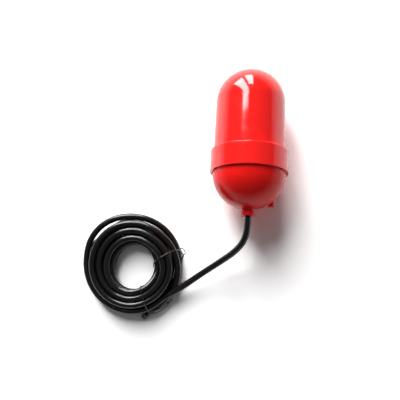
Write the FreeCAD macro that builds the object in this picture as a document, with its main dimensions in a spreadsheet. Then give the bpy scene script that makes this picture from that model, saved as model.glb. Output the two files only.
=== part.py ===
"""Float level switch: a two-part moulded float with a ball switch inside it and its cable.

Units are millimetres and degrees. The float's pieces are modelled about the float's own
axis: the origin is the centre of the lower cup, +Z runs to the dome and -Z to the cable
gland. One placement then lays the float down as it comes to rest on a flat surface, on
the collar's upper edge and the side of its dome. The part's origin is the middle of the
float's bounding box, on that surface, with +Y towards the dome and +Z up.
"""

import FreeCAD, Part
import math
import os

from FreeCAD import Placement, Rotation, Vector
from Sketcher import Constraint

# Driving dimensions, one per cell of the sheet.
SIZES = {
    # shells
    "cup_radius": 40.0,
    "cup_wall": 3.0,
    "spigot_height": 20.6,
    "spigot_chamfer": 0.8,
    "socket_fit": 0.1,
    "socket_chamfer": 0.5,
    "collar_wall": 2.7,
    "collar_height": 24.5,
    "collar_edge": 0.9,
    "collar_rim": 0.5,
    "shell_foot_step": 0.4,
    "shell_top_step": 1.35,
    "shell_length": 56.7,
    "shell_wall": 2.6,
    "seal_height": 1.8,
    "seal_width": 2.2,
    "seal_inset": 0.3,
    # gland at the pole of the cup
    "neck_radius": 7.35,
    "neck_fillet": 1.2,
    "neck_reach": 3.2,
    "nut_radius": 7.75,
    "nut_length": 3.6,
    "nut_end_wall": 1.5,
    "nut_chamfer": 0.5,
    "gland_spigot_radius": 5.8,
    "gland_fit": 0.1,
    # sealing well inside the cup
    "well_radius": 7.0,
    "well_wall": 2.5,
    "well_floor": 3.2,
    "grommet_length": 4.5,
    "washer_thickness": 1.0,
    "ferrule_gap": 0.5,
    "ferrule_length": 2.4,
    "ferrule_wall": 1.4,
    "potting_fill": 6.8,
    "well_freeboard": 0.5,
    # moulded peg outside the cup
    "peg_radius": 3.5,
    "peg_across_inset": 15.3,
    "peg_down_inset": 21.0,
    "peg_end_inset": 7.3,
    "peg_length": 13.7,
    # cable
    "cable_radius": 3.6,
    "jacket_cover": 2.5,
    "core_radius": 1.1,
    "core_offset": 1.35,
    # switch carrier
    "post_radius": 3.5,
    "post_circle": 21.0,
    "pilot_radius": 1.25,
    "pilot_depth": 9.0,
    "base_level": 8.0,
    "base_thickness": 2.5,
    "base_radius": 25.2,
    "window_margin": 2.0,
    "window_front": 7.0,
    "web_margin": 1.0,
    "web_thickness": 2.6,
    "rib_thickness": 2.4,
    "rib_depth": 4.0,
    "cage_wall": 2.3,
    "cage_slot_width": 6.0,
    "cage_slot_margin": 5.0,
    # ball and its cap
    "ball_radius": 10.0,
    "ball_clearance": 0.35,
    "ball_travel": 16.0,
    "stop_gap": 0.15,
    "cap_plug": 1.8,
    "cap_flange": 2.0,
    "cap_vent_radius": 2.0,
    # snap switch
    "case_lift": 3.0,
    "case_length": 28.0,
    "case_height": 15.9,
    "case_thickness": 10.0,
    "case_wall": 2.2,
    "cut_margin": 1.1,
    "cover_thickness": 1.7,
    "case_end_wall": 4.5,
    "switch_screw_inset": 2.3,
    "screw_clearance": 0.15,
    "ear_width": 4.0,
    "ear_thickness": 1.6,
    "ear_height": 2.9,
    "pivot_inset": 2.5,
    "pivot_rise": 1.6,
    # lever
    "pin_radius": 0.8,
    "pin_clearance": 0.05,
    "knuckle_wall": 0.5,
    "lever_length": 21.0,
    "lever_width": 6.0,
    "lever_thickness": 0.5,
    "lever_angle": 8.5,
    # plunger and contacts
    "plunger_from_pivot": 7.0,
    "plunger_radius": 1.3,
    "plunger_clearance": 0.08,
    "plunger_tip_radius": 0.5,
    "plunger_foot_radius": 1.7,
    "plunger_foot_height": 1.0,
    "plunger_nub_radius": 0.6,
    "plunger_nub_height": 0.8,
    "touch_gap": 0.12,
    "common_inset": 7.5,
    "arm_beyond": 2.9,
    "arm_thickness": 0.4,
    "arm_width": 2.0,
    "arm_roll_radius": 0.45,
    "terminal_width": 2.8,
    "terminal_thickness": 0.8,
    "terminal_drop": 7.0,
    "terminal_offset": 1.6,
    "terminal_fit": 0.05,
    "shelf_gap": 0.2,
    "rivet_radius": 1.0,
    "crimp_wall": 0.5,
    "crimp_length": 5.5,
    "barrel_length": 3.8,
    "barrel_wall": 0.4,
    # screws
    "base_screw_length": 9.5,
    "base_screw_head_radius": 2.8,
    "base_screw_head_height": 2.1,
    "case_screw_head_radius": 2.3,
    "case_screw_head_height": 1.7,
    # coil of cable on the surface, its ties and its cut end
    "coil_outer_radius": 58.0,
    "coil_inner_radius": 25.5,
    "coil_height": 22.0,
    "coil_edge": 6.0,
    "coil_lift": 1.2,
    "tie_radius": 0.5,
    "tie_gap": 0.1,
    "strand_length": 1.6,
}

# The route of the cable from the gland's end face: across and along the surface from that
# face, and height above the surface. The first run leaves straight along the float's axis.
FIRST_RUN = 13.0
ROUTE = [
    (-3.4, -26.6, 44.6),
    (-12.6, -37.4, 36.6),
    (-28.5, -48.3, 26.4),
    (-50.0, -62.3, 18.0),
    (-74.0, -79.5, 12.8),
    (-96.0, -92.6, 11.2),
]
COIL_CENTRE = (-133.0, -54.5)
TAIL = ((-108.0, -105.2), (-118.4, -115.0))
TIES = {"upper": (10.0, ((1.5, -5.5, 7.0), (0.6, -10.5, 4.5))),
        "lower": (-62.0, ((2.5, 12.0, 6.0), (4.0, 24.0, 5.0)))}
# A screw's head: the round of its edge and its slot's floor as shares of the head's height,
# and the slot's width as a share of the head's radius.
HEAD_ROUND = 0.4
SLOT_FLOOR = 0.6
SLOT_WIDTH = 0.3
# The radius of a tie's two twisted strands, as a share of one strand's.
TWIST_SHARE = 1.7
# Each core's label and its angle in the cable, by the terminal it runs to.
CORES = {"common": ("core_black", 330.0), "open": ("core_brown", 90.0),
         "closed": ("core_blue", 210.0)}
# The share of a core's height that is straight at each end.
CORE_STRAIGHT = 0.27

doc = FreeCAD.newDocument("float_level_switch")
sheet = doc.addObject("Spreadsheet::Sheet", "Sizes")
for row, (alias, number) in enumerate(SIZES.items(), start=1):
    sheet.set(f"A{row}", alias)
    sheet.set(f"B{row}", str(number))
    sheet.setAlias(f"B{row}", alias)
doc.recompute()


class Length:
    """A number together with the sheet expression that gives it."""

    def __init__(self, value, text):
        self.value = value
        self.text = text

    @staticmethod
    def of(item):
        return item if isinstance(item, Length) else Length(float(item), repr(float(item)))

    def join(self, other, sign, value):
        return Length(value, f"({self.text} {sign} {Length.of(other).text})")

    def __add__(self, other):
        return self.join(other, "+", self.value + Length.of(other).value)

    def __sub__(self, other):
        return self.join(other, "-", self.value - Length.of(other).value)

    def __mul__(self, other):
        return self.join(other, "*", self.value * Length.of(other).value)

    def __truediv__(self, other):
        return self.join(other, "/", self.value / Length.of(other).value)

    def __radd__(self, other):
        return Length.of(other) + self

    def __rsub__(self, other):
        return Length.of(other) - self

    def __rmul__(self, other):
        return Length.of(other) * self

    def __neg__(self):
        return 0 - self


def size(alias):
    """The named cell of the sheet."""
    return Length(float(sheet.get(alias)), f"Sizes.{alias}")


def root(item):
    return Length(math.sqrt(item.value), f"sqrt({item.text})")


def tangent(item):
    return Length(math.tan(math.radians(item.value)), f"tan({item.text} * 1 deg)")


def cosine(item):
    return Length(math.cos(math.radians(item.value)), f"cos({item.text} * 1 deg)")


def bind(target, **properties):
    """Ties properties of an object to lengths."""
    for name, item in properties.items():
        target.setExpression(name, Length.of(item).text)


# ---------------------------------------------------------------- modelling helpers


def new_body(label):
    body = doc.addObject("PartDesign::Body", label)
    body.Label = label
    return body


def sketch_on(body, name, role, level=0.0):
    """A sketch on one of the body's own origin planes, lifted along its normal."""
    plane = next(item for item in body.Origin.OriginFeatures if item.Role == role)
    sketch = body.newObject("Sketcher::SketchObject", name)
    sketch.AttachmentSupport = [(plane, "")]
    sketch.MapMode = "FlatFace"
    sketch.setExpression("AttachmentOffset.Base.z", Length.of(level).text)
    return sketch


def hold(sketch, geometry, point, across, up):
    """Fixes a point of the sketch at lengths from its origin; None leaves one free."""
    for kind, item in (("DistanceX", across), ("DistanceY", up)):
        if item is None:
            continue
        item = Length.of(item)
        index = sketch.addConstraint(Constraint(kind, -1, 1, geometry, point, item.value))
        sketch.renameConstraint(index, f"c{index}")
        sketch.setExpression(f"Constraints.c{index}", item.text)


def outline(sketch, corners):
    """A closed outline. A corner is (x, y), or (x, y, (cx, cy)) where an arc follows it."""
    count = len(corners)
    spots = [Vector(Length.of(c[0]).value, Length.of(c[1]).value, 0) for c in corners]
    for index, corner in enumerate(corners):
        start, end = spots[index], spots[(index + 1) % count]
        if len(corner) == 2:
            sketch.addGeometry(Part.LineSegment(start, end), False)
            continue
        centre = Vector(Length.of(corner[2][0]).value, Length.of(corner[2][1]).value, 0)
        sketch.addGeometry(Part.Arc(start, arc_middle(start, end, centre), end), False)
    heads = [start_of(sketch, index, spots[index]) for index in range(count)]
    for index in range(count):
        after = (index + 1) % count
        tail = 3 - heads[index]
        sketch.addConstraint(Constraint("Coincident", index, tail, after, heads[after]))
    for index, corner in enumerate(corners):
        hold(sketch, index, heads[index], corner[0], corner[1])
        if len(corner) == 3:
            hold(sketch, index, 3, corner[2][0], None)


def arc_middle(start, end, centre):
    """The middle of the shorter arc, or of the anticlockwise one for a half circle."""
    out, back = start - centre, end - centre
    towards = out.normalize() + back.normalize()
    if towards.Length < 1e-6:
        towards = Vector(-out.y, out.x, 0)
    return centre + towards.normalize() * (start - centre).Length


def start_of(sketch, geometry, spot):
    """1 or 2: the end of the geometry that lies at the spot (an arc may run backwards)."""
    near = sketch.getPoint(geometry, 1) - spot
    far = sketch.getPoint(geometry, 2) - spot
    return 1 if near.Length <= far.Length else 2


def circle(sketch, across, up, radius):
    across, up, radius = Length.of(across), Length.of(up), Length.of(radius)
    centre = Vector(across.value, up.value, 0)
    index = sketch.addGeometry(Part.Circle(centre, Vector(0, 0, 1), radius.value), False)
    constraint = sketch.addConstraint(Constraint("Radius", index, radius.value))
    sketch.renameConstraint(constraint, f"r{constraint}")
    sketch.setExpression(f"Constraints.r{constraint}", radius.text)
    hold(sketch, index, 3, across, up)


def rectangle(sketch, left, low, right, high):
    base = sketch.GeometryCount
    corners = [(left, low), (right, low), (right, high), (left, high)]
    spots = [Vector(Length.of(x).value, Length.of(y).value, 0) for x, y in corners]
    for index in range(4):
        sketch.addGeometry(Part.LineSegment(spots[index], spots[(index + 1) % 4]), False)
    for index in range(4):
        after = base + (index + 1) % 4
        sketch.addConstraint(Constraint("Coincident", base + index, 2, after, 1))
        hold(sketch, base + index, 1, *corners[index])


def revolve(body, name, corners, cut=False):
    """Turns an outline in the XZ plane about the Z axis."""
    sketch = sketch_on(body, f"{name}_outline", "XZ_Plane")
    outline(sketch, corners)
    kind = "PartDesign::Groove" if cut else "PartDesign::Revolution"
    turned = body.newObject(kind, name)
    turned.Profile = sketch
    turned.ReferenceAxis = (sketch, ["V_Axis"])
    turned.Angle = 360.0
    return turned


def pad(body, name, sketch, length, kind="Length", backwards=False):
    feature = body.newObject("PartDesign::Pad", name)
    feature.Profile = sketch
    feature.Type = kind
    feature.Reversed = backwards
    if kind == "Length":
        bind(feature, Length=length)
    return feature


def pocket(body, name, sketch, depth=None, backwards=False):
    """A cut below the sketch, or through the whole body where no depth is given."""
    feature = body.newObject("PartDesign::Pocket", name)
    feature.Profile = sketch
    feature.Reversed = backwards
    if depth is None:
        feature.Type = "ThroughAll"
        feature.Midplane = True
    else:
        bind(feature, Length=depth)
    return feature


def turned_piece(label, corners):
    body = new_body(label)
    revolve(body, f"{label}_turn", corners)
    return body


def feature(label, shape):
    """A sub-part whose shape comes straight from Part's own functions."""
    item = doc.addObject("Part::Feature", label)
    item.Label = label
    item.Shape = shape
    return item


# ---------------------------------------------------------------- sizes shared by pieces

cup = size("cup_radius")
cavity = cup - size("cup_wall")
collar = cup + size("socket_fit") + size("collar_wall")
shell_foot = cup - size("shell_foot_step")
shell_top = cup - size("shell_top_step")
neck = size("neck_radius")
cable = size("cable_radius")
gland_bore = cable + size("gland_fit")

nut_top = -cup - size("neck_reach")
gland_face = nut_top - size("nut_length")
nut_bottom = gland_face + size("nut_end_wall")

well = size("well_radius")
well_floor = -cup + size("well_floor")
grommet_top = well_floor + size("grommet_length")
washer_top = grommet_top + size("washer_thickness")
potting_top = washer_top + size("potting_fill")
jacket_top = potting_top - size("jacket_cover")
well_rim = potting_top + size("well_freeboard")

dome_centre = size("collar_height") + size("shell_length")
shoulder = size("spigot_height") + size("seal_height")

base_low = -size("base_level")
base_top = base_low + size("base_thickness")
half_case = size("case_thickness") / 2
half_length = size("case_length") / 2
case_low = base_top + size("case_lift")
case_top = case_low + size("case_height")
cover_back = -half_case + size("cover_thickness")
cavity_half = half_length - size("case_end_wall")
cavity_low = case_low + size("case_wall")
cavity_top = case_top - size("case_wall")
past_wall = size("case_wall") + size("cut_margin")

pivot_x = -half_length + size("pivot_inset")
pivot_z = case_top + size("pivot_rise")
half_lever = size("lever_thickness") / 2
lever_slope = tangent(size("lever_angle"))

ball = size("ball_radius")
ball_low = pivot_z + half_lever + size("stop_gap") + ball
ball_rest = ball_low + size("ball_travel")
cage_bore = ball + size("ball_clearance")
cage_outer = cage_bore + size("cage_wall")
cage_low = pivot_z + half_lever * 2 + size("lever_length") * lever_slope + size("stop_gap")
cap_face = ball_rest + ball + size("stop_gap")
cage_top = cap_face + size("cap_plug")

plunger_x = pivot_x + size("plunger_from_pivot")
plunger_travel = size("plunger_from_pivot") * lever_slope
arm_pivot_x = half_length - size("common_inset")
arm_reach = arm_pivot_x - plunger_x
arm_tip_x = plunger_x - size("arm_beyond")
foot_top = cavity_top - size("touch_gap")
foot_low = foot_top - size("plunger_foot_height")
nub_low = foot_low - size("plunger_nub_height")
half_arm = size("arm_thickness") / 2
arm_z = nub_low - size("touch_gap") - half_arm
arm_slope = plunger_travel / arm_reach
arm_drop = (arm_reach + size("arm_beyond")) * arm_slope
terminal_low = case_low - size("terminal_drop")
half_tab = size("terminal_width") / 2
half_sheet = size("terminal_thickness") / 2
closed_y = size("terminal_offset")


def float_rest():
    """The placement that lays the float on its collar's edge and its dome.

    The collar's rounded edge and the dome are two circles in the float's middle plane,
    and the surface is their common tangent.
    """
    edge = size("collar_edge").value
    edge_centre = collar.value - edge
    span = size("shell_length").value + edge
    dome = shell_top.value
    reach = math.hypot(edge_centre, span)
    tilt = math.acos((dome - edge) / reach) - math.atan2(span, edge_centre)
    rise, run = math.sin(tilt), math.cos(tilt)
    height = edge_centre * run + (size("collar_height").value - edge) * rise + edge
    far_end = dome_centre.value * run + dome
    near_end = gland_face.value * run - size("nut_radius").value * rise
    middle = (far_end + near_end) / 2
    turn = Rotation(Vector(1, 0, 0), -90 - math.degrees(tilt))
    return Placement(Vector(0, -middle, height), turn)


REST = float_rest()


def place(item, across=0.0, down=0.0, along=0.0, turn=None):
    """Puts a piece at a spot of the float, which lies at rest."""
    spot = Vector(*(Length.of(value).value for value in (across, down, along)))
    item.Placement = REST * Placement(spot, turn or Rotation())
    return item


# ---------------------------------------------------------------- the float's two shells


def make_lower_cup():
    fillet = size("neck_fillet")
    fillet_x = neck + fillet
    fillet_z = -root((cup + fillet) * (cup + fillet) - fillet_x * fillet_x)
    share = cup / (cup + fillet)
    top = size("spigot_height")
    chamfer = size("spigot_chamfer")
    well_outer = well + size("well_wall")
    body = new_body("lower_cup")
    revolve(body, "cup_blank", [
        (0, nut_bottom + size("gland_fit")),
        (size("gland_spigot_radius"), nut_bottom + size("gland_fit")),
        (size("gland_spigot_radius"), nut_top),
        (neck, nut_top),
        (neck, fillet_z, (fillet_x, fillet_z)),
        (fillet_x * share, fillet_z * share, (0, 0)),
        (cup, 0),
        (cup, top - chamfer),
        (cup - chamfer, top),
        (0, top),
    ])
    peg = sketch_on(body, "peg_outline", "XY_Plane", size("peg_end_inset") - cup)
    circle(peg, cup - size("peg_across_inset"), cup - size("peg_down_inset"), size("peg_radius"))
    pad(body, "tether_peg", peg, size("peg_length"))
    revolve(body, "cup_hollow", [
        (0, -root(cavity * cavity - well_outer * well_outer)),
        (well_outer, -root(cavity * cavity - well_outer * well_outer), (0, 0)),
        (cavity, 0),
        (cavity, top + 1),
        (0, top + 1),
    ], cut=True)
    wall = sketch_on(body, "well_outline", "XY_Plane", well_rim)
    circle(wall, 0, 0, well_outer)
    pad(body, "sealing_well", wall, 0, kind="UpToFirst", backwards=True)
    bore = sketch_on(body, "well_bore_outline", "XY_Plane", well_rim)
    circle(bore, 0, 0, well)
    pocket(body, "well_bore", bore, well_rim - well_floor)
    hole = sketch_on(body, "cable_bore_outline", "XY_Plane", well_floor)
    circle(hole, 0, 0, gland_bore)
    pocket(body, "cable_bore", hole, size("nut_radius") * 2)
    posts = sketch_on(body, "post_outline", "XY_Plane", base_low)
    circle(posts, 0, size("post_circle"), size("post_radius"))
    one_post = pad(body, "carrier_post", posts, 0, kind="UpToFirst", backwards=True)
    pilots = sketch_on(body, "pilot_outline", "XY_Plane", base_low)
    circle(pilots, 0, size("post_circle"), size("pilot_radius"))
    pilot = pocket(body, "pilot_hole", pilots, size("pilot_depth"))
    around = body.newObject("PartDesign::PolarPattern", "carrier_posts")
    around.Originals = [one_post, pilot]
    around.Axis = (posts, ["N_Axis"])
    around.Angle = 360.0
    around.Occurrences = 3
    body.Tip = around
    return place(body)


def make_upper_shell():
    foot, dome = shell_foot, shell_top
    wall, edge, rim = size("shell_wall"), size("collar_edge"), size("collar_rim")
    height = size("collar_height")
    socket = cup + size("socket_fit")
    lead = size("socket_chamfer")
    body = turned_piece("upper_shell", [
        (0, dome_centre + dome, (0, dome_centre)),
        (dome, dome_centre),
        (foot, height),
        (collar - edge, height, (collar - edge, height - edge)),
        (collar, height - edge),
        (collar, rim, (collar - rim, rim)),
        (collar - rim, 0),
        (socket + lead, 0),
        (socket, lead),
        (socket, shoulder),
        (foot - wall, shoulder),
        (dome - wall, dome_centre, (0, dome_centre)),
        (0, dome_centre + dome - wall),
    ])
    return place(body)


def make_joint_seal():
    outer = cup - size("seal_inset")
    inner = outer - size("seal_width")
    low, high = size("spigot_height"), shoulder
    return place(turned_piece("joint_seal", [
        (inner, low), (outer, low), (outer, high), (inner, high),
    ]))


def make_gland_nut():
    outer, chamfer = size("nut_radius"), size("nut_chamfer")
    grip = size("gland_spigot_radius") + size("gland_fit")
    return place(turned_piece("gland_nut", [
        (gland_bore, gland_face),
        (outer - chamfer, gland_face),
        (outer, gland_face + chamfer),
        (outer, nut_top - chamfer),
        (outer - chamfer, nut_top),
        (grip, nut_top),
        (grip, nut_bottom),
        (gland_bore, nut_bottom),
    ]))


# ---------------------------------------------------------------- cable entry and its seal


def ring(label, inner, outer, low, high):
    return place(turned_piece(label, [(inner, low), (outer, low), (outer, high), (inner, high)]))


def make_cable_seal():
    """Grommet, thrust washer and the ferrule crimped round the jacket above them."""
    foot = washer_top + size("ferrule_gap")
    return [
        ring("cable_grommet", cable, well, well_floor, grommet_top),
        ring("thrust_washer", gland_bore, well - size("gland_fit"), grommet_top, washer_top),
        ring("jacket_ferrule", cable, cable + size("ferrule_wall"), foot,
             foot + size("ferrule_length")),
    ]


def tube(points, radius, closed=False, fixed_bend=None, report=None):
    """A round tube along straight runs joined by tangent arcs.

    Each arc is as large as its two runs allow: 0.45 of the shorter run over the tangent of
    half the turn. A wire bent round something has that thing's radius as its fixed bend.
    """
    spots = [Vector(*point) for point in points]
    count = len(spots)
    corners = range(count) if closed else range(1, count - 1)
    edges, radii, joints = [], [], {}
    for index in corners:
        before, here, after = spots[index - 1], spots[index], spots[(index + 1) % count]
        inward, outward = here - before, after - here
        half = inward.getAngle(outward) / 2
        cut = 0.45 * min(inward.Length, outward.Length)
        if fixed_bend:
            cut = fixed_bend * math.tan(half)
        bend = cut / math.tan(half)
        radii.append(bend)
        inward.normalize()
        outward.normalize()
        side = (outward - inward).normalize()
        middle = here + side * (bend / math.cos(half) - bend)
        joints[index] = (here - inward * cut, middle, here + outward * cut)
    for index in range(count if closed else count - 1):
        after = (index + 1) % count
        start = joints[index][2] if index in joints else spots[index]
        end = joints[after][0] if after in joints else spots[after]
        edges.append(Part.LineSegment(start, end).toShape())
        if after in joints:
            edges.append(Part.Arc(*joints[after]).toShape())
    path = Part.Wire(edges)
    heading = edges[0].tangentAt(edges[0].FirstParameter)
    origin = edges[0].valueAt(edges[0].FirstParameter)
    section = Part.Wire(Part.Circle(origin, heading, radius).toShape())
    solid = path.makePipeShell([section], True, True)
    if report:
        ratio = solid.Volume / (math.pi * radius ** 2 * path.Length)
        bends = ", ".join(f"{bend:.0f}" for bend in radii)
        print(f"{report}: {path.Length:.0f} mm long, volume ratio {ratio:.4f}, radii {bends}")
    return solid


def core_spot(angle):
    offset = size("core_offset").value
    return offset * math.cos(math.radians(angle)), offset * math.sin(math.radians(angle))


def terminal_spots():
    """Across and down of each terminal's tab: common, normally open, normally closed."""
    middle = (arm_pivot_x + arm_tip_x) / 2
    return {"common": (arm_pivot_x, Length.of(0)), "open": (middle, Length.of(0)),
            "closed": (arm_tip_x, closed_y)}


def barrel_low():
    return terminal_low - size("barrel_length")


def make_cores():
    """The three insulated cores, from the jacket's cut to the crimps on the tabs."""
    radius = size("core_radius").value
    low, high = jacket_top.value, barrel_low().value
    pieces = []
    for role, (label, angle) in CORES.items():
        x0, y0 = core_spot(angle)
        x1, y1 = (item.value for item in terminal_spots()[role])
        straight = CORE_STRAIGHT * (high - low)
        shape = tube([
            (x0, y0, low), (x0, y0, low + straight), (x1, y1, high - straight),
            (x1, y1, high + size("barrel_length").value / 2),
        ], radius)
        pieces.append(place(feature(label, shape)))
    return pieces


def make_cable_entry(cores):
    """The cable's jacketed stretch inside the gland, and the resin poured round it."""
    jacket = Part.makeCylinder(
        cable.value, (jacket_top - gland_face).value, Vector(0, 0, gland_face.value))
    entry = place(feature("cable_entry", jacket))
    fill = Part.makeCylinder(
        well.value, size("potting_fill").value, Vector(0, 0, washer_top.value))
    foot = (washer_top + size("ferrule_gap")).value
    ferrule = Part.makeCylinder(
        (cable + size("ferrule_wall")).value, size("ferrule_length").value, Vector(0, 0, foot))
    fill = fill.cut([jacket, ferrule] + [bare_shape(core) for core in cores])
    return [entry, place(feature("potting_resin", fill))]


def bare_shape(item):
    """The object's shape before its placement."""
    shape = item.Shape.copy()
    shape.Placement = Placement()
    return shape


# ---------------------------------------------------------------- switch carrier and ball


def make_switch_carrier():
    body = new_body("switch_carrier")
    web_back = half_case + size("web_thickness")
    half_web = half_length + size("web_margin")
    base = sketch_on(body, "base_outline", "XY_Plane", base_low)
    circle(base, 0, 0, size("base_radius"))
    pad(body, "base_plate", base, size("base_thickness"))
    window = sketch_on(body, "window_outline", "XY_Plane", base_top)
    half_window = cavity_half + size("window_margin")
    rectangle(window, -half_window, -size("window_front"), half_window, half_case)
    pocket(body, "core_window", window, size("base_thickness"))
    web = sketch_on(body, "web_outline", "XY_Plane", base_top)
    rectangle(web, -half_web, half_case, half_web, web_back)
    pad(body, "back_web", web, cage_low + size("cage_wall") - base_top)
    ribs = sketch_on(body, "rib_outline", "XY_Plane", base_top)
    rib_back = web_back + size("rib_depth")
    rib = size("rib_thickness")
    rectangle(ribs, -half_web, web_back, -half_web + rib, rib_back)
    rectangle(ribs, half_web - rib, web_back, half_web, rib_back)
    pad(body, "web_ribs", ribs, cage_low - base_top)
    cage = sketch_on(body, "cage_outline", "XY_Plane", cage_low)
    circle(cage, 0, 0, cage_outer)
    pad(body, "ball_cage", cage, cage_top - cage_low)
    bore = sketch_on(body, "cage_bore_outline", "XY_Plane", cage_top)
    circle(bore, 0, 0, cage_bore)
    pocket(body, "cage_bore", bore, cage_top - pivot_z)
    slot = sketch_on(body, "cage_slot_outline", "XZ_Plane")
    half_slot = size("cage_slot_width") / 2
    margin = size("cage_slot_margin")
    rectangle(slot, -half_slot, cage_low + margin, half_slot, cage_top - margin)
    opening = pocket(body, "cage_slot", slot, cage_outer + 1)
    around = body.newObject("PartDesign::PolarPattern", "cage_slots")
    around.Originals = [opening]
    around.Axis = (base, ["N_Axis"])
    around.Angle = 360.0
    around.Occurrences = 3
    body.Tip = around
    holes = sketch_on(body, "screw_hole_outline", "XY_Plane", base_top)
    clearance = size("pilot_radius") + size("screw_clearance")
    circle(holes, 0, size("post_circle"), clearance)
    hole = pocket(body, "screw_hole", holes, size("base_thickness"))
    ringed = body.newObject("PartDesign::PolarPattern", "screw_holes")
    ringed.Originals = [hole]
    ringed.Axis = (holes, ["N_Axis"])
    ringed.Angle = 360.0
    ringed.Occurrences = 3
    body.Tip = ringed
    pilots = sketch_on(body, "case_pilot_outline", "XZ_Plane", -web_back)
    for across, along in case_screw_spots():
        circle(pilots, across, along, size("pilot_radius"))
    pocket(body, "case_pilots", pilots, size("web_thickness"), backwards=True)
    return place(body)


def case_screw_spots():
    inset = size("switch_screw_inset")
    return [(-half_length + inset, case_low + inset), (half_length - inset, case_low + inset)]


def make_cage_cap():
    flange = cage_top + size("cap_flange")
    plug = cage_bore - size("gland_fit")
    vent = size("cap_vent_radius")
    return place(turned_piece("cage_cap", [
        (vent, cap_face), (plug, cap_face), (plug, cage_top), (cage_outer, cage_top),
        (cage_outer, flange), (vent, flange),
    ]))


def make_ball():
    item = doc.addObject("Part::Sphere", "steel_ball")
    item.Label = "steel_ball"
    bind(item, Radius=ball)
    return place(item, along=ball_rest)


# ---------------------------------------------------------------- snap switch


def make_case_half(label, front, back, hollow):
    """A moulded half of the switch's case, with its ear for the lever's pin."""
    body = new_body(label)
    plate = sketch_on(body, f"{label}_outline", "XZ_Plane", -back)
    rectangle(plate, -half_length, case_low, half_length, case_top)
    pad(body, f"{label}_block", plate, back - front)
    ear_back = back if hollow else -half_case + size("ear_thickness")
    ear = sketch_on(body, f"{label}_ear_outline", "XZ_Plane", -ear_back)
    half_ear = size("ear_width") / 2
    ear_low = case_top - size("case_wall")
    rectangle(ear, pivot_x - half_ear, ear_low, pivot_x + half_ear, case_top + size("ear_height"))
    pad(body, f"{label}_ear", ear, size("ear_thickness"))
    if hollow:
        room = sketch_on(body, f"{label}_room_outline", "XZ_Plane", -front)
        rectangle(room, -cavity_half, cavity_low, cavity_half, cavity_top)
        pocket(body, f"{label}_room", room, back - front - size("cover_thickness"))
        stem = sketch_on(body, f"{label}_stem_outline", "XY_Plane", case_top)
        circle(stem, plunger_x, 0, size("plunger_radius") + size("plunger_clearance"))
        pocket(body, f"{label}_stem", stem, past_wall)
        tabs = sketch_on(body, f"{label}_tab_outline", "XY_Plane", cavity_low)
        slack = size("terminal_fit")
        for across, down in terminal_spots().values():
            rectangle(tabs, across - half_tab - slack, down - half_sheet - slack,
                      across + half_tab + slack, down + half_sheet + slack)
        pocket(body, f"{label}_tabs", tabs, past_wall)
    holes = sketch_on(body, f"{label}_hole_outline", "XZ_Plane")
    for across, along in case_screw_spots():
        circle(holes, across, along, size("pilot_radius") + size("screw_clearance"))
    circle(holes, pivot_x, pivot_z, size("pin_radius"))
    pocket(body, f"{label}_holes", holes)
    return place(body)


def make_lever():
    """Strip and knuckle, modelled flat about the pin, with the pin along Y."""
    body = new_body("trip_lever")
    bore = size("pin_radius") + size("pin_clearance")
    outer = bore + size("knuckle_wall")
    half_width = size("lever_width") / 2
    knuckle = sketch_on(body, "knuckle_outline", "XZ_Plane", -half_width)
    circle(knuckle, 0, 0, outer)
    pad(body, "knuckle", knuckle, size("lever_width"))
    strip = sketch_on(body, "strip_outline", "XY_Plane", -half_lever)
    end = size("lever_length") - half_width
    outline(strip, [
        (0, -half_width), (end, -half_width, (end, 0)), (end, half_width), (0, half_width),
    ])
    pad(body, "strip", strip, size("lever_thickness"))
    hole = sketch_on(body, "knuckle_bore_outline", "XZ_Plane")
    circle(hole, 0, 0, bore)
    pocket(body, "knuckle_bore", hole)
    tilt = Rotation(Vector(0, 1, 0), -size("lever_angle").value)
    return place(body, pivot_x, 0, pivot_z, tilt)


def make_lever_pin():
    item = doc.addObject("Part::Cylinder", "lever_pin")
    item.Label = "lever_pin"
    bind(item, Radius=size("pin_radius"), Height=size("case_thickness"))
    return place(item, pivot_x, -half_case, pivot_z, Rotation(Vector(1, 0, 0), -90))


def make_plunger():
    """Stem, foot and nub, with the stem's tip just under the lever at rest."""
    stem, tip = size("plunger_radius"), size("plunger_tip_radius")
    lever_underside = half_lever / cosine(size("lever_angle"))
    lever_above = pivot_z + (size("plunger_from_pivot") - tip) * lever_slope
    top = lever_above - lever_underside - size("touch_gap")
    foot, nub = size("plunger_foot_radius"), size("plunger_nub_radius")
    item = turned_piece("plunger", [
        (0, nub_low), (nub, nub_low), (nub, foot_low), (foot, foot_low), (foot, foot_top),
        (stem, foot_top), (stem, top - (stem - tip) / 2), (tip, top), (0, top),
    ])
    return place(item, plunger_x)


def make_contact_arm():
    """The moving contact: a strip with a rolled pivot end and a rivet head on both sides."""
    body = new_body("contact_arm")
    reach = arm_reach + size("arm_beyond")
    half_width = size("arm_width") / 2
    strip = sketch_on(body, "arm_outline", "XY_Plane", -half_arm)
    rivet = size("rivet_radius")
    rectangle(strip, -reach - rivet, -half_width, 0, half_width)
    pad(body, "arm_strip", strip, size("arm_thickness"))
    roll = sketch_on(body, "arm_roll_outline", "XZ_Plane", -half_width)
    circle(roll, 0, 0, size("arm_roll_radius"))
    pad(body, "arm_roll", roll, size("arm_width"))
    head = sketch_on(body, "arm_rivet_outline", "XY_Plane", -half_arm * 2)
    circle(head, -reach, 0, rivet)
    pad(body, "arm_rivet", head, size("arm_thickness") * 2)
    return place(body, arm_pivot_x, 0, arm_z)


def block(left, front, low, right, back, high):
    corner = [Length.of(item).value for item in (left, front, low)]
    far = [Length.of(item).value for item in (right, back, high)]
    return Part.makeBox(*(b - a for a, b in zip(corner, far)), Vector(*corner))


def post(across, down, low, high, radius):
    spot = Vector(*(Length.of(item).value for item in (across, down, low)))
    return Part.makeCylinder(Length.of(radius).value, Length.of(high - low).value, spot)


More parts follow.
